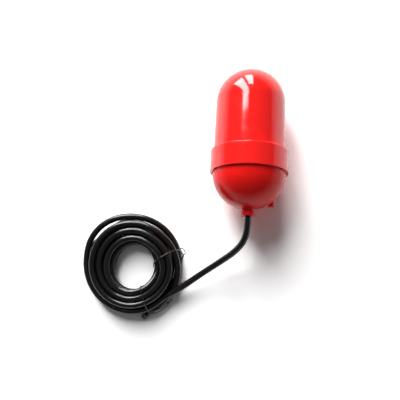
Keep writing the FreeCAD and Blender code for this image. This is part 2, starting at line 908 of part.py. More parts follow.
def make_terminals():
    """Three stamped terminals: the arm's pivot edge, the open contact and the closed one."""
    spots = terminal_spots()
    sheet_thick = size("terminal_thickness")
    rivet = size("rivet_radius")
    gap = size("touch_gap")

    def tab(role, high):
        across, down = spots[role]
        return block(across - half_tab, down - half_sheet, terminal_low,
                     across + half_tab, down + half_sheet, high)

    common = tab("common", arm_z - size("arm_roll_radius") - gap)

    across, down = spots["open"]
    shelf_low = cavity_low + size("shelf_gap")
    shelf = block(arm_tip_x - half_tab, down - half_sheet, shelf_low,
                  across + half_tab, down + half_sheet, shelf_low + sheet_thick * 2)
    pressed = arm_z - arm_drop - half_arm * 2 - gap
    lower = post(arm_tip_x, 0, shelf_low + sheet_thick, pressed - arm_slope * rivet, rivet)
    opened = tab("open", shelf_low + sheet_thick * 2).fuse([shelf, lower])

    across, down = spots["closed"]
    finger_low = arm_z + half_arm * 2 + gap + sheet_thick
    finger = block(across - half_tab, -rivet, finger_low,
                   across + rivet, down + half_sheet, finger_low + sheet_thick)
    upper = post(across, 0, arm_z + half_arm * 2 + gap, finger_low + sheet_thick, rivet)
    closed = tab("closed", finger_low + sheet_thick).fuse([finger, upper])

    made = {"terminal_common": common, "terminal_open": opened, "terminal_closed": closed}
    return [place(feature(label, shape.removeSplitter())) for label, shape in made.items()]


def make_crimps():
    """A folded receptacle on each tab, with a barrel round the core's end."""
    wall, slack = size("crimp_wall"), size("terminal_fit")
    radius = size("core_radius")
    pieces = []
    for across, down in terminal_spots().values():
        half_x, half_y = half_tab + slack, half_sheet + slack
        high = terminal_low + size("crimp_length")
        outer = block(across - half_x - wall, down - half_y - wall, terminal_low,
                      across + half_x + wall, down + half_y + wall, high)
        inner = block(across - half_x, down - half_y, terminal_low,
                      across + half_x, down + half_y, high)
        barrel = post(across, down, barrel_low(), terminal_low, radius + size("barrel_wall"))
        bore = post(across, down, barrel_low(), terminal_low, radius)
        floor = block(across - half_x - wall, down - half_y - wall, terminal_low - wall,
                      across + half_x + wall, down + half_y + wall, terminal_low)
        pieces.append(outer.cut(inner).fuse([barrel.cut(bore), floor]))
    return place(feature("crimp_sleeves", Part.makeCompound(pieces)))


# ---------------------------------------------------------------- screws


def screw(head_radius, head_height, shank_radius, length):
    """A pan-head screw: head above the origin, shank below it."""
    head = Part.makeCylinder(head_radius, head_height)
    head = head.makeFillet(head_height * HEAD_ROUND, [head.Edges[0]])
    shank = Part.makeCylinder(shank_radius, length, Vector(0, 0, -length))
    slot_width = head_radius * SLOT_WIDTH
    slot = Part.makeBox(head_radius * 2, slot_width, head_height,
                        Vector(-head_radius, -slot_width / 2, head_height * SLOT_FLOOR))
    return head.fuse(shank).cut(slot)


def make_base_screws():
    shape = screw(*(size(name).value for name in (
        "base_screw_head_radius", "base_screw_head_height", "pilot_radius",
        "base_screw_length")))
    spots = []
    for index in range(3):
        angle = math.radians(90 + 120 * index)
        circle_radius = size("post_circle").value
        spot = Vector(circle_radius * math.cos(angle), circle_radius * math.sin(angle),
                      base_top.value)
        one = shape.copy()
        one.Placement = Placement(spot, Rotation())
        spots.append(one)
    return place(feature("carrier_screws", Part.makeCompound(spots)))


def make_case_screws():
    length = (size("case_thickness") + size("web_thickness")).value
    shape = screw(size("case_screw_head_radius").value, size("case_screw_head_height").value,
                  size("pilot_radius").value, length)
    made = []
    for across, along in case_screw_spots():
        one = shape.copy()
        spot = Vector(across.value, -half_case.value, along.value)
        one.Placement = Placement(spot, Rotation(Vector(1, 0, 0), 90))
        made.append(one)
    return place(feature("case_screws", Part.makeCompound(made)))


# ---------------------------------------------------------------- cable on the surface


def exit_point():
    return REST.multVec(Vector(0, 0, gland_face.value))


def make_cable_lead():
    """The free stretch between the gland and the coil."""
    start = exit_point()
    along = REST.Rotation.multVec(Vector(0, 0, -1))
    points = [start, start + along * FIRST_RUN]
    points += [Vector(start.x + x, start.y + y, z) for x, y, z in ROUTE]
    return feature("cable_lead", tube(points, cable.value, report="cable_lead"))


def coil_frame():
    start = exit_point()
    return Vector(start.x + COIL_CENTRE[0], start.y + COIL_CENTRE[1], size("coil_lift").value)


def make_cable_coil():
    """The coil as one ring: the outer shape of its turns."""
    inner, outer = size("coil_inner_radius"), size("coil_outer_radius")
    high, edge = size("coil_height"), size("coil_edge")
    body = turned_piece("cable_coil", [
        (inner + edge, 0), (outer - edge, 0, (outer - edge, edge)), (outer, edge),
        (outer, high - edge, (outer - edge, high - edge)), (outer - edge, high),
        (inner + edge, high, (inner + edge, high - edge)), (inner, high - edge),
        (inner, edge, (inner + edge, edge)),
    ])
    body.Placement = Placement(coil_frame(), Rotation())
    return body


def make_cable_tail():
    """The cable's cut end, which sticks out from under the coil, and its three strands."""
    start = exit_point()
    near, far = (Vector(start.x + x, start.y + y, cable.value) for x, y in TAIL)
    heading = (far - near).normalize()
    jacket = Part.makeCylinder(cable.value, (far - near).Length, near, heading)
    strands = []
    turn = Rotation(Vector(0, 0, 1), heading)
    for _label, angle in CORES.values():
        spot = turn.multVec(Vector(*core_spot(angle), 0))
        strands.append(Part.makeCylinder(
            size("core_radius").value, size("strand_length").value, far + spot, heading))
    return [feature("cable_tail", jacket), feature("tail_cores", Part.makeCompound(strands))]


def make_tie(name):
    """A wire twisted round the coil: its closed loop and the twisted tail."""
    angle, tail = TIES[name]
    wire, gap = size("tie_radius").value, size("tie_gap").value
    inner = size("coil_inner_radius").value - gap - wire
    outer = size("coil_outer_radius").value + gap + wire
    low = size("coil_lift").value - gap - wire
    high = size("coil_lift").value + size("coil_height").value + gap + wire
    turn = Rotation(Vector(0, 0, 1), angle)
    centre = coil_frame()

    def spot(reach, height, sideways=0.0):
        flat = turn.multVec(Vector(reach, sideways, 0))
        return Vector(centre.x + flat.x, centre.y + flat.y, height)

    bend = size("coil_edge").value + gap + wire
    loop = tube([
        spot(inner, low), spot(outer, low), spot(outer, high), spot(inner, high),
    ], wire, closed=True, fixed_bend=bend)
    twist = wire * TWIST_SHARE
    points = [spot(outer + twist - wire, (low + high) / 2)]
    points += [spot(outer + reach, height, sideways) for reach, sideways, height in tail]
    return feature(f"tie_wire_{name}", loop.fuse(tube(points, twist)))


# ---------------------------------------------------------------- the whole switch


def build():
    cores = make_cores()
    pieces = [make_lower_cup(), make_upper_shell(), make_joint_seal(), make_gland_nut()]
    pieces += make_cable_seal()
    pieces += cores
    pieces += make_cable_entry(cores)
    pieces += [make_switch_carrier(), make_cage_cap(), make_ball()]
    pieces += [make_case_half("switch_case", cover_back, half_case, True),
               make_case_half("switch_cover", -half_case, cover_back, False)]
    pieces += [make_lever(), make_lever_pin(), make_plunger(), make_contact_arm()]
    pieces += make_terminals()
    pieces += [make_crimps(), make_base_screws(), make_case_screws()]
    pieces += [make_cable_lead(), make_cable_coil()]
    pieces += make_cable_tail()
    pieces += [make_tie("upper"), make_tie("lower")]
    return pieces


def check(pieces):
    """Stops the build if an object failed, or if a piece's shape is null or not valid."""
    for item in doc.Objects:
        failed = {"Invalid", "Error"} & set(item.State)
        if failed:
            raise RuntimeError(f"{item.Name} is {sorted(failed)}")
    for item in pieces:
        if item.Shape.isNull() or not item.Shape.isValid():
            raise RuntimeError(f"{item.Label} has no valid shape")


def export(pieces):
    os.makedirs("parts", exist_ok=True)
    for item in pieces:
        item.Shape.exportStep(f"parts/{item.Label}.step")


sub_parts = build()
doc.recompute()
check(sub_parts)
export(sub_parts)
spin = math.degrees(math.asin(-REST.Rotation.multVec(Vector(0, 0, 1)).z))
print(f"{len(sub_parts)} pieces, float laid at {spin:.2f} degrees, gland at {exit_point()}")
print(f"plunger travel {plunger_travel.value:.3f} mm, arm slope {arm_slope.value:.4f}")
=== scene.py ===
"""The looks of a float level switch: finishes, the cable as one coiled cord, ties and studio.

Everything is in metres and in the part's own frame: +Z up from the surface that the float
lies on, +Y from the cable gland towards the dome, and the origin under the float's middle.
"""

import logging
import math
from dataclasses import dataclass
from enum import Enum
from typing import Callable, Iterable, Sequence

import bmesh
import bpy
from mathutils import Matrix, Vector
from mathutils.geometry import convex_hull_2d


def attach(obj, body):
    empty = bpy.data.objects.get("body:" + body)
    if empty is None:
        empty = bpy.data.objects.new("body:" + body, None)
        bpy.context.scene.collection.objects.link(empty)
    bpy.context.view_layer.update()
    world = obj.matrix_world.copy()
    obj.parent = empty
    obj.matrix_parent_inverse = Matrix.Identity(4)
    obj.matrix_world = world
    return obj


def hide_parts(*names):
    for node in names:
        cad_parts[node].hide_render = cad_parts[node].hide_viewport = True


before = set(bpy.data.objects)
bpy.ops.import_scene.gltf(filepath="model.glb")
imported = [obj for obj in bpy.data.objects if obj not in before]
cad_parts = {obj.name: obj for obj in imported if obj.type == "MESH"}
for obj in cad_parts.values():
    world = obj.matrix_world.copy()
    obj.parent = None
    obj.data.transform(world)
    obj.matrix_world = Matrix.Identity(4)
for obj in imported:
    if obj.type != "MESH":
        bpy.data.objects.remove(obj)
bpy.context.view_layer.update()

MM = 0.001
LOG = logging.getLogger("float_switch")
Colour = tuple[float, float, float]
Triple = tuple[float, float, float]

CABLE_RADIUS = 3.6 * MM
GLAND_EXIT = Vector((0.0, -82.895, 47.642)) * MM
GLAND_HEADING = Vector((0.0, -0.997529, 0.070251))
COIL_FROM_EXIT = Vector((-133.0, -54.5)) * MM

SHARP_ANGLE = math.radians(35)
BEVEL_STEPS = 6
SPLINE_STEPS = 8
SPLINE_ORDER = 3


# -------- shader maths


class Wire:
    """A shader socket that takes part in Python expressions."""

    def __init__(self, graph: "Graph", socket: bpy.types.NodeSocket) -> None:
        """Keeps the socket and the graph that it belongs to."""
        self.graph = graph
        self.socket = socket

    def _math(self, operation: str, first: object, second: object) -> "Wire":
        """Adds one Math node.

        Args:
            operation: The Math node's operation.
            first: Its first value or wire.
            second: Its second value or wire.

        Returns:
            The node's result.
        """
        return self.graph.add("ShaderNodeMath", {"operation": operation}, {0: first, 1: second})

    def __add__(self, other: object) -> "Wire":
        """Sum."""
        return self._math("ADD", self, other)

    __radd__ = __add__

    def __sub__(self, other: object) -> "Wire":
        """Difference."""
        return self._math("SUBTRACT", self, other)

    def __rsub__(self, other: object) -> "Wire":
        """Reflected difference."""
        return self._math("SUBTRACT", other, self)

    def __mul__(self, other: object) -> "Wire":
        """Product."""
        return self._math("MULTIPLY", self, other)

    __rmul__ = __mul__

    def __truediv__(self, other: object) -> "Wire":
        """Quotient."""
        return self._math("DIVIDE", self, other)

    def __rtruediv__(self, other: object) -> "Wire":
        """Reflected quotient."""
        return self._math("DIVIDE", other, self)

    def __pow__(self, other: object) -> "Wire":
        """Power."""
        return self._math("POWER", self, other)

    def __rpow__(self, other: object) -> "Wire":
        """Reflected power."""
        return self._math("POWER", other, self)

    def limited(self) -> "Wire":
        """The value held between 0 and 1."""
        return self._math("MINIMUM", self._math("MAXIMUM", self, 0.0), 1.0)

    def step(self, low: float, high: float) -> "Wire":
        """A smooth step from 0 at low to 1 at high.

        Args:
            low: Where the step starts.
            high: Where it ends.

        Returns:
            The stepped value.
        """
        return self.graph.add(
            "ShaderNodeMapRange",
            {"interpolation_type": "SMOOTHSTEP"},
            {"Value": self, "From Min": low, "From Max": high},
        )


class Graph:
    """The node tree of one material or world."""

    def __init__(self, tree: bpy.types.NodeTree) -> None:
        """Starts with an empty tree."""
        self.tree = tree
        tree.nodes.clear()

    def add(
        self,
        kind: str,
        settings: dict[str, object] | None = None,
        sockets: dict[object, object] | None = None,
        output: int | str = 0,
    ) -> Wire:
        """Adds one node.

        Args:
            kind: The node's type.
            settings: Its properties, set before its sockets. "stops" fills a colour ramp.
            sockets: Values or wires of its input sockets, by name or number.
            output: The output that comes back.

        Returns:
            The chosen output.
        """
        node = self.tree.nodes.new(kind)
        for name, value in (settings or {}).items():
            if name == "stops":
                self._fill_ramp(node.color_ramp, value)
            else:
                setattr(node, name, value)
        for name, value in (sockets or {}).items():
            if isinstance(value, Wire):
                self.tree.links.new(value.socket, node.inputs[name])
            else:
                node.inputs[name].default_value = value
        return Wire(self, node.outputs[output])

    def finish(self, kind: str, shader: Wire) -> None:
        """Adds the tree's output node.

        Args:
            kind: The output node's type.
            shader: What it shows.
        """
        node = self.tree.nodes.new(kind)
        self.tree.links.new(shader.socket, node.inputs["Surface"])

    @staticmethod
    def _fill_ramp(ramp: bpy.types.ColorRamp, stops: Sequence[tuple[float, Colour]]) -> None:
        """Sets a colour ramp's stops."""
        while len(ramp.elements) < len(stops):
            ramp.elements.new(0.5)
        for element, (place, colour) in zip(ramp.elements, stops):
            element.position = place
            element.color = (*colour, 1.0)

    def place(self, stretch: Triple = (1.0, 1.0, 1.0)) -> Wire:
        """The surface point in millimetres, stretched along each axis.

        Args:
            stretch: A factor for each axis.

        Returns:
            The stretched point.
        """
        point = self.add("ShaderNodeTexCoord", output="Object")
        factor = tuple(value / MM for value in stretch)
        return self.add("ShaderNodeVectorMath", {"operation": "MULTIPLY"}, {0: point, 1: factor})

    def noise(self, point: Wire, size: float, detail: float = 2.0, rough: float = 0.5) -> Wire:
        """Noise from 0 to 1.

        Args:
            point: Where it is read, in millimetres.
            size: The width of its patches, in millimetres.
            detail: How many finer layers it has.
            rough: How strong the finer layers are.

        Returns:
            The noise's value.
        """
        return self.add(
            "ShaderNodeTexNoise",
            None,
            {"Vector": point, "Scale": 1.0 / size, "Detail": detail, "Roughness": rough},
        )

    def cells(self, point: Wire, size: float) -> Wire:
        """The distance to scattered points, from 0 at a point.

        Args:
            point: Where it is read, in millimetres.
            size: The spacing of the points, in millimetres.

        Returns:
            The distance in spacings.
        """
        return self.add("ShaderNodeTexVoronoi", None, {"Vector": point, "Scale": 1.0 / size})

    def blend(self, factor: object, first: object, second: object) -> Wire:
        """A mix of two colours.

        Args:
            factor: 0 for the first, 1 for the second.
            first: A colour or wire.
            second: A colour or wire.

        Returns:
            The mixed colour.
        """
        low, high = ((*end, 1.0) if isinstance(end, tuple) else end for end in (first, second))
        return self.add("ShaderNodeMix", {"data_type": "RGBA"}, {0: factor, 6: low, 7: high}, 2)

    def bump(self, height: Wire, depth: float, under: Wire | None = None) -> Wire:
        """A normal tilted by a height.

        Args:
            height: The height, from 0 to 1.
            depth: What a height of 1 is, in metres.
            under: The normal that is tilted, or None for the surface's own.

        Returns:
            The normal.
        """
        sockets: dict[object, object] = {"Height": height, "Distance": depth, "Strength": 1.0}
        if under is not None:
            sockets["Normal"] = under
        return self.add("ShaderNodeBump", None, sockets)


# -------- finishes


@dataclass(frozen=True)
class Surface:
    """What every finish shares: a name, a colour and the shader's plain numbers."""

    name: str
    colour: Colour
    roughness: float = 0.4
    metallic: float = 0.0
    coat: float = 0.0
    coat_roughness: float = 0.05
    specular: float = 0.5

    @property
    def title(self) -> str:
        """The material's name."""
        return self.name + "_finish"

    def material(self) -> bpy.types.Material:
        """Makes the material.

        Returns:
            The finished material.
        """
        made = bpy.data.materials.new(self.title)
        made.use_nodes = True
        graph = Graph(made.node_tree)
        sockets: dict[object, object] = {
            "Metallic": self.metallic,
            "Coat Weight": self.coat,
            "Coat Roughness": self.coat_roughness,
            "Specular IOR Level": self.specular,
        }
        sockets.update(self.varied(graph))
        shader = graph.add("ShaderNodeBsdfPrincipled", None, sockets)
        graph.finish("ShaderNodeOutputMaterial", shader)
        made.diffuse_color = (*self.colour, 1.0)
        return made

    def varied(self, graph: Graph) -> dict[object, object]:
        """The sockets whose value changes over the surface.

        Args:
            graph: The material's graph.

        Returns:
            Wires by socket name.
        """
        point = graph.place()
        patch = graph.noise(point, size=6.0, detail=3.0)
        grain = graph.noise(point, size=0.8)
        return {
            "Base Color": graph.blend(patch, self.shade(0.92), self.shade(1.08)),
            "Roughness": self.roughness * (0.85 + 0.3 * patch),
            "Normal": graph.bump(grain, depth=0.01 * MM),
        }

    def shade(self, factor: float) -> Colour:
        """The colour made darker or lighter."""
        return tuple(min(1.0, value * factor) for value in self.colour)


@dataclass(frozen=True)
class GlossyMoulding(Surface):
    """Injection-moulded shell: deep gloss with a slow waviness, fine peel and light scuffs."""

    wave: float = 16.0
    peel: float = 0.9
    dust: Colour = (0.75, 0.35, 0.32)

    def varied(self, graph: Graph) -> dict[object, object]:
        """Flow shades in the colour, scuffs in the gloss, waviness and peel in the normal."""
        point = graph.place()
        flow = graph.noise(graph.place((1.0, 0.35, 1.0)), size=26.0, rough=0.4)
        lines = graph.noise(graph.place((1.0, 0.12, 1.0)), size=0.7, detail=3.0, rough=0.6)
        patch = graph.noise(point, size=9.0, detail=3.0, rough=0.6).step(0.45, 0.75)
        scuff = lines.step(0.58, 0.75) * patch
        speck = 1.0 - graph.cells(point, size=5.0).step(0.03, 0.06)
        colour = graph.blend(flow, self.shade(0.93), self.shade(1.05))
        wave = graph.noise(point, size=self.wave, detail=1.0, rough=0.3)
        peel = graph.noise(point, size=self.peel)
        swell = graph.bump(wave, depth=0.22 * MM)
        return {
            "Base Color": graph.blend(speck * 0.25, colour, self.dust),
            "Roughness": self.roughness + 0.14 * scuff + 0.05 * patch,
            "Normal": graph.bump(peel + scuff * 0.6, depth=0.006 * MM, under=swell),
        }


@dataclass(frozen=True)
class CableJacket(Surface):
    """Extruded jacket: satin black with a soft lay ripple, talc dust and handling shine."""

    dust: Colour = (0.05, 0.047, 0.043)

    def varied(self, graph: Graph) -> dict[object, object]:
        """Dust in the colour, handling shine in the gloss, ripple and grain in the normal."""
        point = graph.place()
        cloud = graph.noise(point, size=14.0, detail=4.0, rough=0.6)
        fleck = graph.noise(point, size=1.6, detail=3.0, rough=0.7)
        dust = fleck.step(0.56, 0.78) * cloud.step(0.42, 0.7)
        shine = graph.noise(point, size=22.0).step(0.35, 0.7)
        ripple = graph.noise(point, size=5.5, detail=1.0, rough=0.3)
        grain = graph.noise(point, size=0.35)
        base = graph.blend(cloud, self.shade(0.8), self.shade(1.25))
        swell = graph.bump(ripple, depth=0.12 * MM)
        return {
            "Base Color": graph.blend(dust * 0.35, base, self.dust),
            "Roughness": self.roughness + 0.16 * dust - 0.07 * shine,
            "Normal": graph.bump(grain, depth=0.008 * MM, under=swell),
        }


@dataclass(frozen=True)
class SpunMetal(Surface):
    """Stamped, turned or ground metal: fine grain lines, finger stains and a worn shine."""

    stain: Colour = (0.3, 0.22, 0.12)
    along: Triple = (1.0, 0.08, 1.0)

    def varied(self, graph: Graph) -> dict[object, object]:
        """Grain in the gloss and the normal, stains in the colour."""
        grain = graph.noise(graph.place(self.along), size=0.12)
        stain = graph.noise(graph.place(), size=3.5, detail=4.0, rough=0.6).step(0.5, 0.8)
        return {
            "Base Color": graph.blend(stain * 0.3, self.shade(1.0), self.stain),
            "Roughness": self.roughness * (0.75 + 0.5 * grain) + 0.12 * stain,
            "Normal": graph.bump(grain, depth=0.003 * MM),
        }


@dataclass(frozen=True)
class GrainedMoulding(Surface):
    """Unpolished moulding: spark-eroded grain, flow shades and rubbed patches."""

    grain: float = 0.3

    def varied(self, graph: Graph) -> dict[object, object]:
        """Grain in the normal, rubbing in the gloss, flow shades in the colour."""
        point = graph.place()
        flow = graph.noise(graph.place((1.0, 0.3, 1.0)), size=9.0)
        rubbed = graph.noise(point, size=4.0, detail=3.0).step(0.5, 0.75)
        grain = graph.noise(point, size=self.grain, rough=0.6)
        return {
            "Base Color": graph.blend(flow, self.shade(0.9), self.shade(1.08)),
            "Roughness": self.roughness - 0.12 * rubbed,
            "Normal": graph.bump(grain, depth=0.02 * MM),
        }


@dataclass(frozen=True)
class PouredResin(Surface):
    """Poured sealing resin: glassy, with trapped bubbles and a slow swirl."""

    def varied(self, graph: Graph) -> dict[object, object]:
        """Swirl in the colour, bubbles in the normal."""
        point = graph.place()
        swirl = graph.noise(point, size=3.0, detail=4.0, rough=0.6)
        bubble = graph.cells(point, size=1.4).step(0.05, 0.22)
        return {
            "Base Color": graph.blend(swirl, self.shade(0.7), self.shade(1.5)),
            "Roughness": self.roughness + 0.1 * swirl,
            "Normal": graph.bump(bubble, depth=0.06 * MM),
        }


class Finish(Enum):
    """Every finish on the switch."""

    RED_SHELL = GlossyMoulding(
        "red_shell", (0.90, 0.014, 0.012), roughness=0.10, coat=0.15, coat_roughness=0.03
    )
    RED_CUP = GlossyMoulding("red_cup", (0.92, 0.012, 0.010), roughness=0.18, specular=0.2)
    BLACK_RUBBER = GrainedMoulding("black_rubber", (0.016, 0.015, 0.015), roughness=0.7)
    BRASS = SpunMetal("brass", (0.72, 0.48, 0.18), roughness=0.3, metallic=1.0)
    CABLE_JACKET = CableJacket("cable_jacket", (0.0055, 0.0052, 0.005), roughness=0.24)
    RESIN = PouredResin("resin", (0.05, 0.036, 0.024), roughness=0.12, coat=0.5)
    CORE_BLACK = Surface("core_black", (0.012, 0.012, 0.013), roughness=0.42)
    CORE_BROWN = Surface("core_brown", (0.16, 0.06, 0.022), roughness=0.42)
    CORE_BLUE = Surface("core_blue", (0.018, 0.07, 0.42), roughness=0.42)
    NATURAL_PLASTIC = GrainedMoulding("natural_plastic", (0.74, 0.71, 0.63), roughness=0.5)
    SWITCH_PLASTIC = GrainedMoulding("switch_plastic", (0.03, 0.03, 0.032), roughness=0.48)
    BRIGHT_STEEL = SpunMetal(
        "bright_steel", (0.62, 0.62, 0.63), roughness=0.14, metallic=1.0, stain=(0.4, 0.36, 0.3)
    )
    PLUNGER_PLASTIC = GrainedMoulding("plunger_plastic", (0.6, 0.06, 0.03), roughness=0.4)
    TIE_COATING = Surface("tie_coating", (0.014, 0.013, 0.012), roughness=0.24, coat=0.3)
    CUT_FILLER = GrainedMoulding("cut_filler", (0.20, 0.155, 0.14), roughness=0.8, grain=0.5)
    COPPER = SpunMetal("copper", (0.78, 0.36, 0.2), roughness=0.3, metallic=1.0)

    @property
    def made(self) -> bpy.types.Material:
        """The material, made on first use."""
        return bpy.data.materials.get(self.value.title) or self.value.material()


# -------- pieces


def dress(piece: bpy.types.Object, finish: Finish) -> None:
    """Gives a piece its finish, on every slot that it has.

    Args:
        piece: The object.
        finish: What it is made of.
    """
    slots = piece.data.materials
    for index in range(len(slots)):
        slots[index] = finish.made
    if not slots:
        slots.append(finish.made)


def report(piece: bpy.types.Object) -> None:
    """Logs a piece's name and its count of points."""
    if piece.type == "MESH":
        count = len(piece.data.vertices)
    else:
        count = sum(len(spline.points) for spline in piece.data.splines)
    LOG.info("%s: %d points", piece.name, count)


def linked(name: str, data: bpy.types.ID) -> bpy.types.Object:
    """Puts new data into the scene as an object."""
    piece = bpy.data.objects.new(name, data)
    bpy.context.scene.collection.objects.link(piece)
    return piece


def mesh_piece(name: str, build: Callable[[bmesh.types.BMesh], None]) -> bpy.types.Object:
    """Makes a smooth-shaded mesh object from a function that fills a bmesh.

    Args:
        name: The piece's name.
        build: Fills the bmesh.

    Returns:
        The object.
    """
    shape = bmesh.new()
    build(shape)
    bmesh.ops.recalc_face_normals(shape, faces=shape.faces)
    for face in shape.faces:
        face.smooth = True
    data = bpy.data.meshes.new(name)
    shape.to_mesh(data)
    shape.free()
    data.set_sharp_from_angle(angle=SHARP_ANGLE)
    return linked(name, data)


def spline_piece(
    name: str, paths: Iterable[Sequence[Vector]], radius: float, closed: bool = False
) -> bpy.types.Object:
    """Makes a round cord or wire along smooth splines.

    Args:
        name: The piece's name.
        paths: The control points of each spline.
        radius: The wire's radius.
        closed: Whether each spline closes on itself.

    Returns:
        The curve object.
    """
    data = bpy.data.curves.new(name, "CURVE")
    data.dimensions = "3D"
    data.bevel_depth = radius
    data.bevel_resolution = BEVEL_STEPS
    data.resolution_u = SPLINE_STEPS
    data.use_fill_caps = not closed
    for path in paths:
        spline = data.splines.new("NURBS")
        spline.points.add(len(path) - 1)
        for item, spot in zip(spline.points, path):
            item.co = (*spot, 1.0)
        spline.use_cyclic_u = closed
        spline.order_u = SPLINE_ORDER
        spline.use_endpoint_u = not closed
    return linked(name, data)


def smooth_line(path: Sequence[Vector]) -> list[Vector]:
    """The line that a smooth spline makes of its control points.

    Args:
        path: The control points.

    Returns:
        Points along the line.
    """
    guide = spline_piece("guide", [path], 0.0)
    curve = guide.data
    mesh = bpy.data.meshes.new_from_object(guide)
    points = [vertex.co.copy() for vertex in mesh.vertices]
    bpy.data.meshes.remove(mesh)
    bpy.data.objects.remove(guide)
    bpy.data.curves.remove(curve)
    return points


def length_of(points: Sequence[Vector]) -> float:
    """The length of a line through points."""
    return sum((b - a).length for a, b in zip(points, points[1:]))


def smooth_step(value: float) -> float:
    """A step from 0 to 1 with level ends, for a value that runs past both."""
    held = min(1.0, max(0.0, value))
    return held * held * (3.0 - 2.0 * held)


def turned(
    shape: bmesh.types.BMesh, outline: Sequence[tuple[float, float]], steps: int, basis: Matrix
) -> None:
    """Turns an outline round the Z axis of a basis.

    Args:
        shape: The bmesh to fill.
        outline: Radius and height of each point, with radius 0 at a pole.
        steps: How many flats the turn has.
        basis: Where the turned shape goes.
    """
    rings = []
    for radius, height in outline:
        count = 1 if radius == 0.0 else steps
        angles = [2.0 * math.pi * index / steps for index in range(count)]
        spots = [Vector((radius * math.cos(a), radius * math.sin(a), height)) for a in angles]
        rings.append([shape.verts.new(basis @ spot) for spot in spots])
    for low, high in zip(rings, rings[1:]):
        for index in range(steps):
            after = (index + 1) % steps
            corners = (
                low[index % len(low)], low[after % len(low)],
                high[after % len(high)], high[index % len(high)],
            )
            unique = list(dict.fromkeys(corners))
            if len(unique) > 2:
                shape.faces.new(unique)


def basis_at(spot: Vector, heading: Vector) -> Matrix:
    """A basis at a spot whose Z axis runs along a heading."""
    return Matrix.Translation(spot) @ heading.to_track_quat("Z", "Y").to_matrix().to_4x4()


# -------- the coil


@dataclass(frozen=True)
class Crossing:
    """A place where the cable passes from its slot in the coil to the next one.

    Columns count inwards from the outside and layers up from the surface. The azimuth and
    the width are in degrees, as seen from above, and turns count from the entry.
    """

    column: float
    layer: float
    azimuth: float
    width: float
    turn: int


@dataclass(frozen=True)
class Pitch:
    """How far apart the columns are, in millimetres, with the lean and the oval of the turns."""

    mean: float
    lean_x: float
    lean_y: float
    oval: float

    def at(self, angle: float) -> float:
        """The pitch at an azimuth in radians."""
        lean = self.lean_x * math.cos(angle) + self.lean_y * math.sin(angle)
        return (self.mean + lean + self.oval * math.cos(2.0 * angle)) * MM


@dataclass(frozen=True)
class Swell:
    """A place where the outer turns stand out or are pressed in."""

    azimuth: float
    width: float
    height: float

    def at(self, azimuth: float) -> float:
        """The swell's height at an azimuth."""
        off = (azimuth - self.azimuth + 180.0) % 360.0 - 180.0
        return self.height * math.exp(-((off / self.width) ** 2))


@dataclass(frozen=True)
class Waver:
    """A slow waver along the cable: its size in millimetres, its rate per turn, its phase."""

    size: float
    rate: float
    phase: float

    def at(self, turn: float) -> float:
        """The waver after a number of turns."""
        return self.size * math.sin(self.rate * turn + self.phase)


